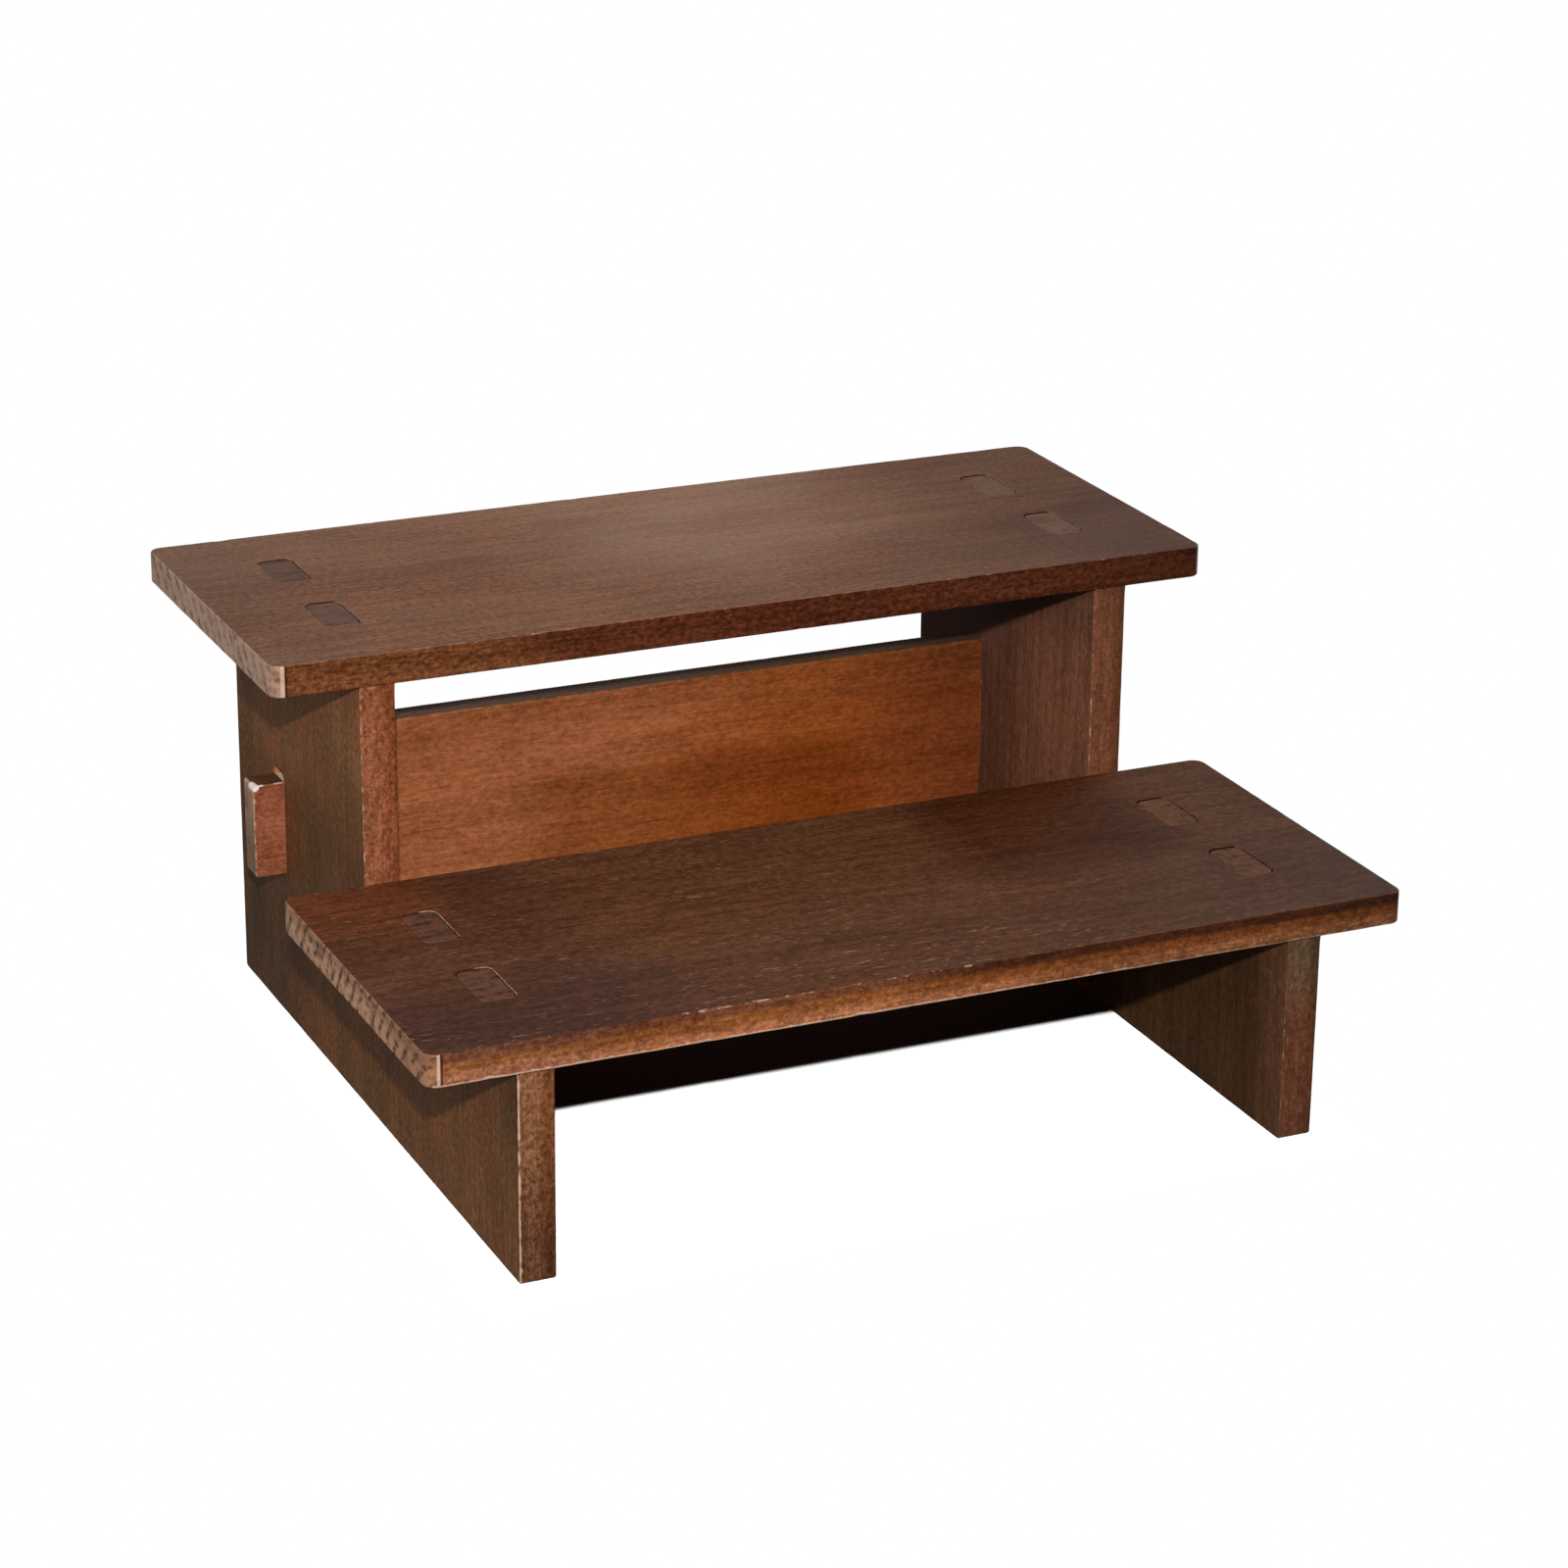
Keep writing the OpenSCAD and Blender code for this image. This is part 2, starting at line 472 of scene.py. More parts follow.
def side_board(name, seed, foot_wear, material):
    """One side board with its slot for the rail and its four tenons. foot_wear rubs its front edge."""
    low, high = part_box(name)
    outline = rounded_path([
        (low.y, 0, SIDE_CORNER),
        (high.y, 0, SIDE_CORNER),
        (high.y, TALL_SHOULDER, SHOULDER_CORNER),
        (RISER_Y, TALL_SHOULDER, SHOULDER_CORNER),
        (RISER_Y, LOW_SHOULDER, SHOULDER_CORNER),
        (low.y, LOW_SHOULDER, SHOULDER_CORNER),
    ], SPACING)

    def ease(point):
        depth = TALL_SHOULDER - point.y
        if point.x < RISER_Y + SHOULDER_CORNER:
            depth = min(depth, abs(LOW_SHOULDER - point.y))
        return min(worn_ease(SIDE_EASE, point, seed), SHOULDER_EASE + EASE_SLOPE * depth)

    def front_wear(point):
        if point.x < low.y + MM:
            return foot_wear
        on_riser = abs(point.x - RISER_Y) < MM and point.y > LOW_SHOULDER
        return RISER_WEAR if on_riser else LITTLE_WEAR

    mesh = new_mesh()
    rows = edge_rows(mesh, outline, high.x, -1, ease, SIDE_BORDER, upright)
    rows += edge_rows(mesh, outline, low.x, 1, ease, SIDE_BORDER, upright, front_wear)[::-1]
    low_run = shoulder_run(outline, LOW_SHOULDER)
    tall_run = shoulder_run(outline, TALL_SHOULDER)
    skin(mesh, rows, low_run + tall_run)
    add_tenons(mesh, "lower_tread", rows, low_run, low, high)
    add_tenons(mesh, "upper_tread", rows, tall_run, low, high)

    slot_top = RAIL_TENON_TOP + SLOT_HEADROOM
    slot_front = rail_low.y - SLOT_CHEEK_GAP
    slot_back = rail_high.y + SLOT_CHEEK_GAP
    slot = rounded_path([
        (slot_front, slot_top, SLOT_CORNER),
        (slot_back, slot_top, SLOT_CORNER),
        (slot_back, RAIL_TENON_LOW, SHOULDER_CORNER),
        (slot_front, RAIL_TENON_LOW, SHOULDER_CORNER),
    ], SPACING / 2)

    def slot_ease(point):
        return SLOT_EASE * min(1.0, 0.2 + (point.y - RAIL_TENON_LOW) / SLOT_EASE_RISE)

    slot_rows = edge_rows(mesh, slot, high.x, -1, slot_ease, SLOT_EASE, upright)
    slot_rows += edge_rows(mesh, slot, low.x, 1, slot_ease, SLOT_EASE, upright)[::-1]
    bare_layer = mesh.verts.layers.float["bare"]
    for k in WALL_ROWS:
        for vertex in slot_rows[k]:
            vertex[bare_layer] = 1.0
    skin(mesh, slot_rows)
    fill(mesh, rows[0], slot_rows[0])
    fill(mesh, rows[-1], slot_rows[-1])
    board(mesh, name + "_board", material, name)


left = Wood("left_side_wood", "ZYX", 3.0)
left.rings(pitch=6 * MM, pith=(0.9, -0.35), band=0.4)
left.stain(dark=(0.095, 0.035, 0.007), middle=(0.165, 0.061, 0.017), light=(0.25, 0.095, 0.030),
           speckle=2.5, streak=0.85)
left.flecks(left.maths("MULTIPLY_ADD", left.near("Y", -105 * MM, -145 * MM), 0.5, 0.5))
front = left.facing("Y", -1)
outer = left.facing("X", -1)
low_part = left.near("Z", 105 * MM, 95 * MM)
left.tint(front, (1.28, 1.14, 1.78))
left.tint(left.times(front, low_part), (0.98, 1.20, 1.25))
left.tint(left.times(front, left.near("Z", 78 * MM, 18 * MM)), (0.52, 0.50, 0.50))
inward_side = left.times(front, left.near("X", -180 * MM, -172 * MM))
left.tint(inward_side, (0.80, 0.70, 0.60))
left.tint(left.times(inward_side, low_part), (0.80, 0.75, 0.60))
left.specks(left.times(front, 0.8))
left.tint(outer, (0.95, 0.99, 0.98))
left.tint(left.times(outer, left.near("Z", 138 * MM, 108 * MM)), (0.74, 0.70, 0.72))
rear_top = left.times(left.near("Y", 115 * MM, 160 * MM), left.near("Z", 140 * MM, 165 * MM))
left.tint(left.times(outer, rear_top), (0.70, 0.76, 0.84))
belly = left.times(left.near("Z", 70 * MM, 50 * MM), left.near("Y", 90 * MM, 50 * MM))
left.tint(left.times(outer, belly), (1.22, 1.28, 1.2))
rear_foot = left.times(left.near("Z", 105 * MM, 85 * MM), left.near("Y", 90 * MM, 130 * MM))
left.tint(left.times(outer, rear_foot), (0.70, 0.78, 0.95))
front_top = left.times(left.near("Z", 135 * MM, 165 * MM), left.near("Y", 80 * MM, 40 * MM))
left.tint(left.times(outer, front_top), (1.28, 1.38, 1.52))
left.patches(shift=16, share=outer, tint=(0.79, 0.92, 0.98))
left.patches(shift=17, share=outer, tint=(1.16, 1.05, 1.22))
left.ends(pale=(0.145, 0.060, 0.036), dark=(0.045, 0.018, 0.010), marked=0.7)
left.pale_patches(left.times(left.near("Z", 150 * MM, 200 * MM), left.cut, 0.10))
side_board("left_side", seed=1.5, foot_wear=0.8, material=left.finish(CUT_WOOD))

# The slope of the edge of a tread's shadow on the right side's inner face
SHADOW_SLOPE = 0.49

right = Wood("right_side_wood", "ZYX", 21.0)
right.rings(pitch=7 * MM, pith=(-0.7, 0.5), band=0.4)
right.stain(dark=(0.11, 0.038, 0.015), middle=(0.19, 0.066, 0.028), light=(0.29, 0.105, 0.050),
            speckle=1.6, streak=0.6)
right.flecks(0.4)
front = right.facing("Y", -1)
inner = right.facing("X", -1)
right.tint(front, (0.94, 0.95, 1.08))
right.tint(inner, (0.98, 1.11, 1.38))
right.tint(right.times(front, right.near("X", 177 * MM, 184 * MM)), (0.75, 0.70, 0.65))
low_part = right.near("Z", 105 * MM, 92 * MM)
right.tint(right.times(front, right.near("Z", 45 * MM, 90 * MM), low_part), (0.72, 1.14, 1.18))
right.specks(right.times(front, 0.5))
# Painted shade: the inner face is darker below the lower tread, most of all behind its front edge.
low_inner = right.times(inner, low_part, right.near("Y", 10 * MM, -25 * MM))
right.tint(low_inner, (0.79, 0.81, 0.74))
right.tint(right.times(low_inner, right.near("Y", -178 * MM, -148 * MM)), (0.51, 0.54, 0.38))
# Painted shade: the inner face darkens towards the back and near its top, under the upper tread.
right.tint(right.times(inner, right.near("Y", 40 * MM, 110 * MM)), (0.62, 0.62, 0.65))
right.tint(right.times(inner, right.near("Z", 158 * MM, 178 * MM)), (0.80, 0.84, 0.85))
# Painted shadow: the inner face is darkened where each tread's shadow falls on it, up to the shadow's
# slanted edge.
shadow_line = right.maths("MULTIPLY_ADD", right.spot["Y"], SHADOW_SLOPE, right.spot["Z"])
painted_shadow_upper = right.times(inner, right.rise(shadow_line, 194 * MM, 206 * MM))
right.tint(painted_shadow_upper, (0.42, 0.30, 0.16))
painted_shadow_lower = right.times(right.rise(shadow_line, 2 * MM, 12 * MM), right.rise(shadow_line, 108 * MM, 98 * MM))
right.tint(right.times(inner, painted_shadow_lower), (0.18, 0.36, 0.44))
right.ends(pale=(0.21, 0.092, 0.050), dark=(0.085, 0.036, 0.020), marked=0.6)
right.pale_patches(right.times(right.near("Z", 150 * MM, 200 * MM), right.cut, 0.16))
side_board("right_side", seed=6.5, foot_wear=0.45, material=right.finish(CUT_WOOD, gloss=0.12))

# The back rail
# One softwood board stands on edge between the sides, with its grain along X. Its shoulders meet the
# sides, and a long tenon at each end runs through the slot and stands out. The left one lost a corner.
RAIL_EASE = 0.8 * MM
RAIL_BORDER = 0.7 * MM
RAIL_CORNER = 1.7 * MM
RAIL_END_WEAR = 0.6
CHIP_SIZE = 2.4 * MM
CHIP_REACH = 12 * MM
CHIP_SLANT = (0.55, 0.45, 0.7)
CHIP_WOOD = (0.95, 0.84, 0.77, 1)

inner_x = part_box("right_side")[0].x
outer_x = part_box("right_side")[1].x


def across(u, v, level):
    """Lays an outline drawn in X and Z on a board that stands across Y."""
    return u, level, v


def rail_ease(point):
    """The rail's edges are hand-eased, but stay sharp where its shoulders meet the sides."""
    reach = abs(abs(point.x) - inner_x)
    return min(worn_ease(RAIL_EASE, point, seed=11.5), SHOULDER_EASE + EASE_SLOPE * reach)


def rail_wear(point):
    """The tenons' ends, which stand out of the sides, are rubbed more than the rest."""
    return RAIL_END_WEAR if abs(point.x) > outer_x else LITTLE_WEAR


def chip(mesh, corner, size):
    """Breaks a corner off: points past a slanted plane fall back to it, and show bare wood."""
    bare_layer = mesh.verts.layers.float["bare"]
    way = Vector([math.copysign(w, c) for w, c in zip(CHIP_SLANT, (corner.x, -1, 1))]).normalized()
    for vertex in mesh.verts:
        past = (vertex.co - corner).dot(way) + size
        if past > 0 and (vertex.co - corner).length < CHIP_REACH:
            vertex.co -= way * past
            vertex[bare_layer] = 1.0


rail_outline = rounded_path([
    (-inner_x, rail_low.z, SHOULDER_CORNER),
    (inner_x, rail_low.z, SHOULDER_CORNER),
    (inner_x, RAIL_TENON_LOW, SHOULDER_CORNER),
    (rail_high.x, RAIL_TENON_LOW, RAIL_CORNER),
    (rail_high.x, RAIL_TENON_TOP, RAIL_CORNER),
    (inner_x, RAIL_TENON_TOP, SHOULDER_CORNER),
    (inner_x, rail_high.z, SHOULDER_CORNER),
    (-inner_x, rail_high.z, SHOULDER_CORNER),
    (-inner_x, RAIL_TENON_TOP, SHOULDER_CORNER),
    (rail_low.x, RAIL_TENON_TOP, RAIL_CORNER),
    (rail_low.x, RAIL_TENON_LOW, RAIL_CORNER),
    (-inner_x, RAIL_TENON_LOW, SHOULDER_CORNER),
], SPACING / 2)

rail_mesh = new_mesh()
rail_rows = edge_rows(rail_mesh, rail_outline, rail_low.y, 1, rail_ease, RAIL_BORDER, across, rail_wear)
rail_rows += edge_rows(rail_mesh, rail_outline, rail_high.y, -1, rail_ease, RAIL_BORDER, across)[::-1]
skin(rail_mesh, rail_rows)
fill(rail_mesh, rail_rows[0])
fill(rail_mesh, rail_rows[-1])
chip(rail_mesh, Vector((rail_low.x, rail_low.y, RAIL_TENON_TOP)), CHIP_SIZE)

rail = Wood("rail_wood", "XZY", 40.0)
rail.rings(pitch=22 * MM, pith=(-0.25, 0.7), band=0.4)
rail.stain(dark=(0.15, 0.043, 0.012), middle=(0.28, 0.085, 0.030), light=(0.41, 0.138, 0.058),
           speckle=1.5, streak=0.7)
aside = rail.maths("ABSOLUTE", rail.spot["X"])
outside = rail.rise(aside, outer_x - 0.5 * MM, outer_x)
upward = rail.facing("Z", 1)
rail.tint(rail.near("X", -20 * MM, 80 * MM), (0.90, 0.76, 0.50))
rail.tint(rail.near("X", 80 * MM, 165 * MM), (0.60, 0.60, 0.75))
low_part = rail.near("Z", 107 * MM, 95 * MM)
low_middle = rail.times(low_part, rail.near("X", -80 * MM, -40 * MM), rail.near("X", 125 * MM, 90 * MM))
rail.tint(low_middle, (0.78, 0.70, 0.50))
low_right = rail.times(rail.near("Z", 125 * MM, 112 * MM), rail.near("X", -30 * MM, 20 * MM))
rail.tint(low_right, (0.95, 0.86, 0.74))
rail.tint(upward, (0.56, 1.04, 1.85))
rail.tint(rail.times(upward, outside), (0.60, 0.38, 0.15))
rail.tint(outside, (0.74, 0.72, 0.90))
in_side = rail.times(rail.rise(aside, inner_x, inner_x + MM), rail.maths("SUBTRACT", 1.0, outside))
rail.colour = rail.mix(in_side, rail.colour, BARE_WOOD)
rail.specks(rail.times(outside, 0.45))
rail.ends(pale=(0.34, 0.215, 0.13), dark=(0.13, 0.076, 0.046))
downward = rail.near("Z", RAIL_TENON_TOP - 12 * MM, RAIL_TENON_LOW + 12 * MM)
rail.tint(rail.times(rail.cut, downward), (0.58, 0.58, 0.58))
board(rail_mesh, "back_rail_board", rail.finish(CHIP_WOOD), "back_rail")

# The two treads
# Each is a flat softwood board with grain along X, rounded at its corners and eased along its edges,
# with four mortises cut right through. The ends show pale end grain, and the left corners have a bright
# line, rubbed bare and partly a painted highlight.
TREAD_EASE = 0.8 * MM
TREAD_BORDER = 1.5 * MM
TREAD_CORNER = 6 * MM
MORTISE_EASE = 0.25 * MM
MORTISE_BORDER = 0.4 * MM
MORTISE_END_GAP = 0.8 * MM


def tread_board(name, seed, top_wear, bottom_wear, mortise_wears, material):
    """One tread with its four through mortises. The wears say how rubbed its front edges are."""
    low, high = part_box(name)
    length = high.x - low.x
    width = high.y - low.y
    plan = round_box(0, (low.y + high.y) / 2, length, width, TREAD_CORNER, 0.75 * SPACING)
    mesh = new_mesh()

    def ease(point):
        return worn_ease(TREAD_EASE, point, seed)

    def on_front(wear):
        return lambda point: wear(point) if point.y < low.y + MM else LITTLE_WEAR

    rows = edge_rows(mesh, plan, high.z, -1, ease, TREAD_BORDER, flat, on_front(top_wear))
    rows += edge_rows(mesh, plan, low.z, 1, ease, TREAD_BORDER, flat, on_front(bottom_wear))[::-1]
    skin(mesh, rows)
    tops = [rows[0]]
    bottoms = [rows[-1]]
    ease_in = even(MORTISE_EASE)
    for side, rub in mortise_wears.items():
        side_low, side_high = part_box(side)
        middle = (side_low.x + side_high.x) / 2
        across_x = side_high.x - side_low.x + 2 * SLOT_CHEEK_GAP
        across_y = TENON_WIDTH + 2 * MORTISE_END_GAP

        def mortise_wear(point):
            return rub if point.x > middle else 0.0

        for y in tenon_centres(name):
            hole = round_box(middle, y, across_x, across_y, TENON_CORNER, SPACING / 2)[::-1]
            walls = edge_rows(mesh, hole, high.z, -1, ease_in, MORTISE_BORDER, flat, mortise_wear)
            walls += edge_rows(mesh, hole, low.z, 1, ease_in, MORTISE_BORDER, flat)[::-1]
            skin(mesh, walls)
            tops.append(walls[0])
            bottoms.append(walls[-1])
    fill(mesh, *tops)
    fill(mesh, *bottoms)
    board(mesh, name + "_board", material, name)


def rough_stretch(point):
    """The lower tread's top front edge is knocked about in one stretch."""
    return 0.52 if -125 * MM < point.x < 20 * MM else 0.32


def rubbed_left(point):
    """The lower tread's bottom front edge is rubbed through, and less so to the right."""
    return 1.35 - 0.6 * max(0.0, point.x / low_tread[1].x)


def tread_end(wood, low, high, rubbed, **end_grain):
    """The end grain of a tread, its left corners, and painted shade on the walls of its mortises.

    rubbed is the distance from the tread's end to the bright line down the corners, where they are
    rubbed bare and which is partly a painted highlight.
    """
    start = low.x + TREAD_CORNER
    wall = wood.rise(wood.maths("ABSOLUTE", wood.looks["Z"]), 0.85, 0.6)
    corner = wood.times(wood.near("X", start + 0.2 * MM, start - 0.2 * MM), wall)
    arc = wood.times(corner, wood.rise(wood.end_on, 0.985, 0.93))
    wood.ends(**end_grain, corner=corner)
    wood.tint(arc, (0.80, 0.74, 0.70))
    past_corner = wood.near("X", start - 0.2 * MM, start + 0.2 * MM)
    past_corner = wood.times(past_corner, wood.near("X", start + 1.6 * MM, start + 0.8 * MM))
    wood.tint(wood.times(past_corner, wall), (0.40, 0.34, 0.30))
    # The bright line down the corners: bare wood, and partly a painted highlight.
    wood.rubbed = wood.times(wood.near("X", low.x + rubbed, low.x + rubbed + 0.6 * MM), arc)
    # Painted shade: the walls of the mortises are darkened, as in the gaps round the tenons.
    beside = wood.rise(wood.maths("ABSOLUTE", wood.spot["X"]), outer_x + 10 * MM, outer_x + 5 * MM)
    between = wood.near("Y", low.y + 4 * MM, low.y + 6 * MM)
    between = wood.times(between, wood.near("Y", high.y - 4 * MM, high.y - 6 * MM))
    wood.tint(wood.times(wall, beside, between), (0.36, 0.32, 0.30))


under_z = low_tread[0].z
top_z = low_tread[1].z
lower = Wood("lower_tread_wood", "XYZ", 60.0)
lower.rings(pitch=7.5 * MM, pith=(-0.9, -0.45), band=0.42)
lower.stain(dark=(0.070, 0.023, 0.008), middle=(0.128, 0.044, 0.0165), light=(0.20, 0.075, 0.032),
            speckle=2.2, streak=0.9)
top = lower.facing("Z", 1)
to_front = lower.near("Y", -90 * MM, -175 * MM)
lower.flecks(lower.times(top, lower.maths("MULTIPLY_ADD", to_front, 0.45, 0.55)))
front = lower.facing("Y", -1)
front_top = lower.times(front, lower.near("Z", top_z - 6 * MM, top_z - 3 * MM))
front_foot = lower.times(front, lower.near("Z", under_z + 8 * MM, under_z + 3 * MM))
right_part = lower.near("X", -40 * MM, 40 * MM)
upper_part = lower.near("Z", under_z + 4 * MM, under_z + 8 * MM)
lower.tint(front, (1.5, 1.34, 0.83))
lower.tint(front_top, (0.60, 0.60, 0.98))
# Painted shade: a darker band under the front's top edge on the right half.
lower.tint(lower.times(front_top, right_part), (0.60, 0.58, 0.58))
lower.tint(lower.times(front, right_part, upper_part), (0.86, 0.78, 0.70))
lower.tint(front_foot, (1.5, 1.74, 2.9))
lower.tint(lower.times(front, lower.near("X", -130 * MM, -165 * MM)), (1.0, 1.08, 1.35))
lower.specks(lower.times(front, 0.55))
lower.tint(lower.times(top, lower.near("X", -90 * MM, -150 * MM)), (0.76, 0.76, 0.85))
front_left = lower.times(lower.near("X", -60 * MM, -110 * MM), lower.near("Y", -110 * MM, -140 * MM))
lower.tint(lower.times(top, front_left), (0.80, 0.80, 0.92))
lower.tint(lower.times(top, lower.near("Y", -105 * MM, -145 * MM)), (0.84, 0.80, 0.80))
# Painted reflections: the back of the top is warmer at the left and darker at the right, where it
# mirrors the orange rail and the dark riser.
painted_rail_reflection = lower.times(lower.near("X", -152 * MM, -174 * MM), lower.near("Y", -85 * MM, -20 * MM))
lower.tint(lower.times(top, painted_rail_reflection), (1.36, 1.0, 0.74))
painted_riser_reflection = lower.times(lower.near("X", 50 * MM, 85 * MM), lower.near("X", 190 * MM, 150 * MM))
lower.tint(lower.times(top, painted_riser_reflection, lower.near("Y", -125 * MM, -80 * MM)), (0.62, 0.47, 0.33))
tread_end(lower, *low_tread, rubbed=4.4 * MM, pale=(0.47, 0.265, 0.165), dark=(0.10, 0.048, 0.027),
          ringed=0.9, marked=0.35)
end_top = lower.near("Z", top_z - 8 * MM, top_z - 3 * MM)
lower.tint(lower.times(lower.cut, end_top), (0.74, 0.69, 0.64))
lower.tint(lower.times(lower.cut, lower.near("Y", -115 * MM, -165 * MM)), (0.78, 0.71, 0.64))
# Painted sheen: a faint pale haze over the front of the top.
lower.pale_patches(lower.times(top, lower.near("Y", -60 * MM, -150 * MM), 0.015))
lower_rubs = {"left_side": 0.8, "right_side": 0.3}
tread_board("lower_tread", seed=15.5, top_wear=rough_stretch, bottom_wear=rubbed_left,
            mortise_wears=lower_rubs, material=lower.finish())

upper = Wood("upper_tread_wood", "XYZ", 80.0)
upper.rings(pitch=9 * MM, pith=(0.95, -0.5), band=0.36)
upper.stain(dark=(0.10, 0.030, 0.010), middle=(0.19, 0.060, 0.022), light=(0.30, 0.11, 0.046),
            speckle=2.9, streak=1.1)
top = upper.facing("Z", 1)
upper.flecks(upper.times(top, 0.45))
front = upper.facing("Y", -1)
upper.tint(front, (0.66, 0.64, 0.56))
upper.tint(upper.times(front, upper.near("X", -130 * MM, -80 * MM)), (0.58, 0.45, 0.50))
upper.specks(upper.times(front, 0.4))
upper.tint(upper.times(top, upper.near("X", 50 * MM, 200 * MM)), (0.80, 0.78, 0.75))
front_right = upper.times(upper.near("X", 100 * MM, 210 * MM), upper.near("Y", 140 * MM, 20 * MM))
upper.tint(upper.times(top, front_right), (0.76, 0.66, 0.55))
upper.tint(upper.times(top, upper.near("X", -165 * MM, -205 * MM)), (0.82, 0.90, 1.0))
tread_end(upper, *top_tread, rubbed=3.9 * MM, pale=(0.43, 0.275, 0.20), dark=(0.17, 0.098, 0.068),
          ringed=0.75, marked=0.3)
front_middle = upper.times(upper.near("X", -60 * MM, 60 * MM), upper.near("Y", 110 * MM, 70 * MM))
upper.tint(upper.times(top, front_middle), (0.92, 0.90, 0.90))
# Painted sheen: the top is lighter over a broad area, with a pale haze there and at its back left.
painted_sheen_area = upper.times(upper.near("X", -120 * MM, 20 * MM), upper.near("X", 160 * MM, 40 * MM))
painted_sheen_area = upper.times(painted_sheen_area, upper.near("Y", 0, 125 * MM))
back_left = upper.times(upper.near("X", -50 * MM, -120 * MM), upper.near("Y", 90 * MM, 150 * MM))
upper.tint(upper.times(top, painted_sheen_area), (1.30, 1.22, 1.10))
upper.pale_patches(upper.times(top, upper.maths("MULTIPLY_ADD", painted_sheen_area, 0.28, 0.12)))
upper.pale_patches(upper.times(top, back_left, 0.08))
upper_rubs = {"left_side": 0.0, "right_side": 0.5}
tread_board("upper_tread", seed=18.5, top_wear=even(0.42), bottom_wear=even(0.2),
            mortise_wears=upper_rubs, material=upper.finish())

# The floor
# A plain pale studio floor. It keeps the stand's shadow under and close to it, and farther out it
# glows an even white for the camera. Other rays meet a grey floor, so it throws up little light.
FLOOR_SIZE = 12.0
FLOOR_PALE = (0.10, 0.10, 0.10, 1)
FLOOR_GREY = (0.012, 0.012, 0.012, 1)
FLOOR_SHEEN = 0.12
SHADOW_FADE = 25 * MM

floor_mesh = bmesh.new()
bmesh.ops.create_grid(floor_mesh, x_segments=1, y_segments=1, size=FLOOR_SIZE)
floor_data = bpy.data.meshes.new("floor")
floor_mesh.to_mesh(floor_data)
floor_mesh.free()
floor = bpy.data.objects.new("floor", floor_data)
bpy.context.scene.collection.objects.link(floor)

foot_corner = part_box("right_side")[1]
paint = Recipe(bpy.data.materials.new("floor_paint"))
floor_spot = paint.add("SeparateXYZ", {0: paint.add("TexCoord", out="Object")}).node.outputs
beside = paint.maths("SUBTRACT", paint.maths("ABSOLUTE", floor_spot["X"]), foot_corner.x)
beyond = paint.maths("SUBTRACT", paint.maths("ABSOLUTE", floor_spot["Y"]), foot_corner.y)
clear = paint.rise(paint.maths("MAXIMUM", beside, beyond), 0.0, SHADOW_FADE)
rays = paint.add("LightPath").node.outputs
strength = paint.add("MapRange", {"Value": rays["Is Camera Ray"], "To Min": FLOOR_SHEEN, "To Max": 1.0})
glow = paint.add("Emission", {"Strength": strength})
lit = paint.add("BsdfDiffuse", {"Color": paint.mix(rays["Is Camera Ray"], FLOOR_GREY, FLOOR_PALE)})
seen = paint.add("MixShader", {0: clear, 1: lit, 2: glow})
mirrored = paint.maths("MAXIMUM", rays["Is Glossy Ray"], rays["Is Transmission Ray"])
looked_at = paint.maths("MAXIMUM", rays["Is Camera Ray"], mirrored)
dim = paint.add("BsdfDiffuse", {"Color": FLOOR_GREY})
paint.add("OutputMaterial", {"Surface": paint.add("MixShader", {0: looked_at, 1: dim, 2: seen})})
floor_data.materials.append(paint.owner)

# The studio's light
# A small flash above the camera gives the crisp shadows. It leaves no glare, as behind a polariser. A
# twin lights only the floor, soft lamps stand behind and to the left, and a dim room fills the rest.
FLASH_SPOT = Vector((-0.770, -1.738, 1.050))
FLASH_AIM = Vector((-0.16, -0.04, 0.14))
FLASH_RADIUS = 0.022
FLOOR_FLASH_RADIUS = 0.012
FLASH_POWER = 205
FLASH_CONE = math.radians(31)
FLOOR_FLASH_POWER = 4150
FLOOR_FLASH_CONE = math.radians(60)
SOFT_POWER = 10
SOFT_SIZE = 1.2
SOFT_SPOTS = {"soft_left": Vector((-1.3, 1.7, 1.1)), "soft_right": Vector((1.8, 0.8, 1.1))}
SIDE_SPOT = Vector((-1.5, -0.1, 0.42))
SIDE_POWER = 3.4
SIDE_SIZE = 0.8
MIDDLE = Vector((0, 0, 0.1))
ROOM_WHITE = (1, 1, 1, 1)
ROOM_DIM = 0.048
ROOM_SHEEN = 0.16


def lamp(name, kind, spot, aim, power, **settings):
    """A lamp of the given kind, turned towards its aim."""
    data = bpy.data.lights.new(name, kind)
    data.energy = power
    for key, value in settings.items():
        setattr(data, key, value)
    light = bpy.data.objects.new(name, data)
    turned = (aim - spot).to_track_quat("-Z", "Y").to_matrix().to_4x4()
    light.matrix_world = Matrix.Translation(spot) @ turned
    bpy.context.scene.collection.objects.link(light)
    return light


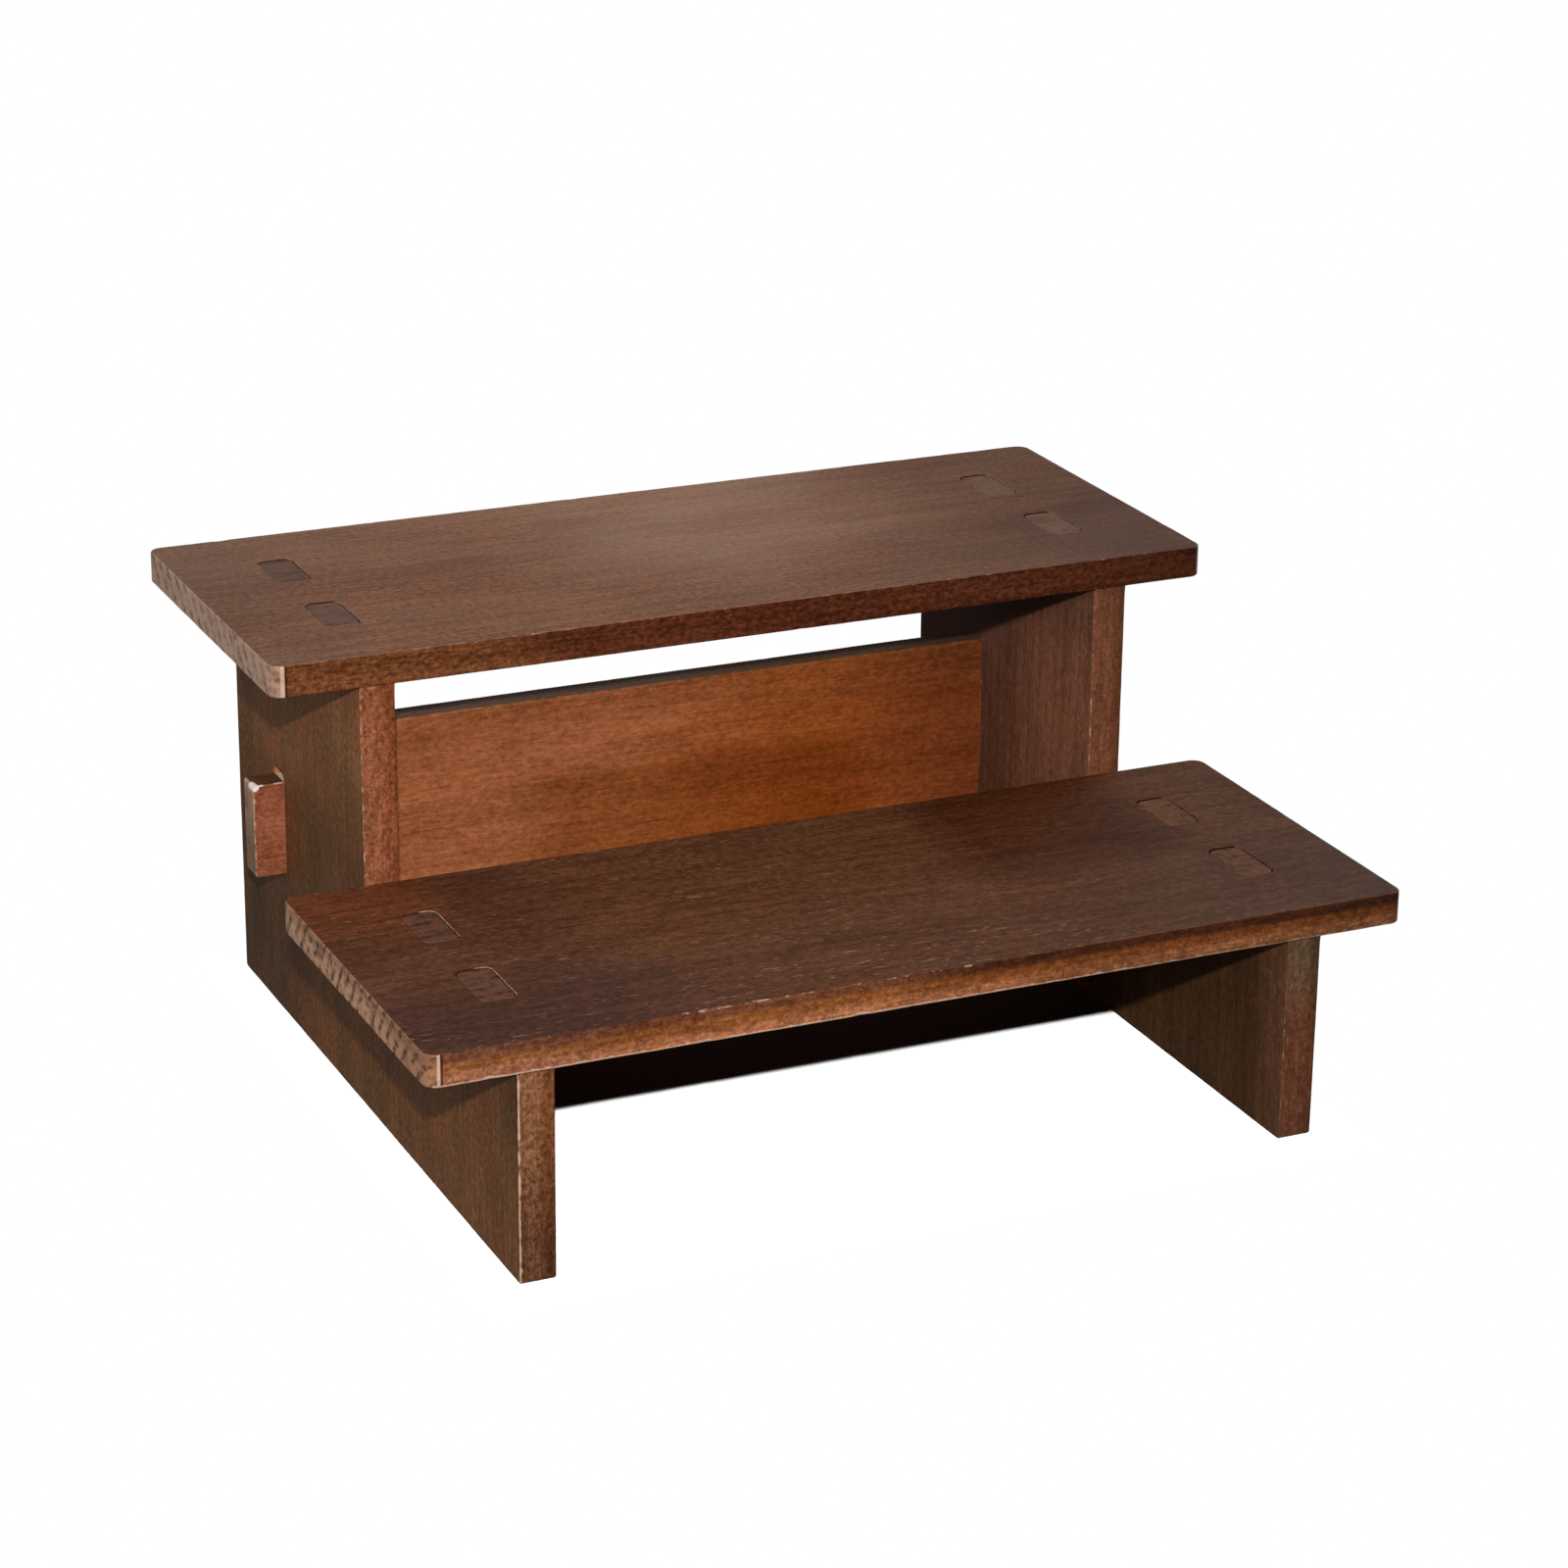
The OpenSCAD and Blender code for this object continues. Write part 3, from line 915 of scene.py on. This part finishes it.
flash = lamp("flash", "SPOT", FLASH_SPOT, FLASH_AIM, FLASH_POWER,
             shadow_soft_size=FLASH_RADIUS, spot_size=FLASH_CONE, spot_blend=1.0)
flash.visible_glossy = False
floor_flash = lamp("floor_flash", "SPOT", FLASH_SPOT, MIDDLE, FLOOR_FLASH_POWER,
                   shadow_soft_size=FLOOR_FLASH_RADIUS, spot_size=FLOOR_FLASH_CONE, spot_blend=0.5)
floor_only = bpy.data.collections.new("floor_only")
floor_only.objects.link(floor)
floor_flash.light_linking.receiver_collection = floor_only
for soft_name, soft_spot in SOFT_SPOTS.items():
    lamp(soft_name, "AREA", soft_spot, MIDDLE, SOFT_POWER, size=SOFT_SIZE)
lamp("side_fill", "AREA", SIDE_SPOT, MIDDLE, SIDE_POWER, size=SIDE_SIZE)

room = Recipe(bpy.data.worlds.new("room"))
rays = room.add("LightPath").node.outputs
mirrored = room.maths("MAXIMUM", rays["Is Glossy Ray"], rays["Is Transmission Ray"])
level = room.add("MapRange", {"Value": mirrored, "To Min": ROOM_DIM, "To Max": ROOM_SHEEN})
strength = room.maths("MAXIMUM", rays["Is Camera Ray"], level)
room.add("OutputWorld", {"Surface": room.add("Background", {"Color": ROOM_WHITE, "Strength": strength})})
bpy.context.scene.world = room.owner

# The camera
# It stands at the front left and looks down on the stand through a long lens. Its place and its turn
# were fitted to the straight edges of the boards in the photograph.
CAMERA_SPOT = Vector((-0.7479, -1.6760, 0.8137))
CAMERA_YAW = math.radians(24.404)
CAMERA_PITCH = math.radians(20.472)
CAMERA_ROLL = math.radians(0.560)
CAMERA_LENS = 100.32
CAMERA_SENSOR = 36
CAMERA_REACH = 60

camera_data = bpy.data.cameras.new("camera")
camera_data.lens = CAMERA_LENS
camera_data.sensor_width = CAMERA_SENSOR
camera_data.clip_end = CAMERA_REACH
camera = bpy.data.objects.new("camera", camera_data)
turn = Matrix.Rotation(-CAMERA_YAW, 4, "Z") @ Matrix.Rotation(math.pi / 2 - CAMERA_PITCH, 4, "X")
camera.matrix_world = Matrix.Translation(CAMERA_SPOT) @ turn @ Matrix.Rotation(CAMERA_ROLL, 4, "Z")
bpy.context.scene.collection.objects.link(camera)
bpy.context.scene.camera = camera
bpy.context.scene.view_settings.view_transform = "Standard"
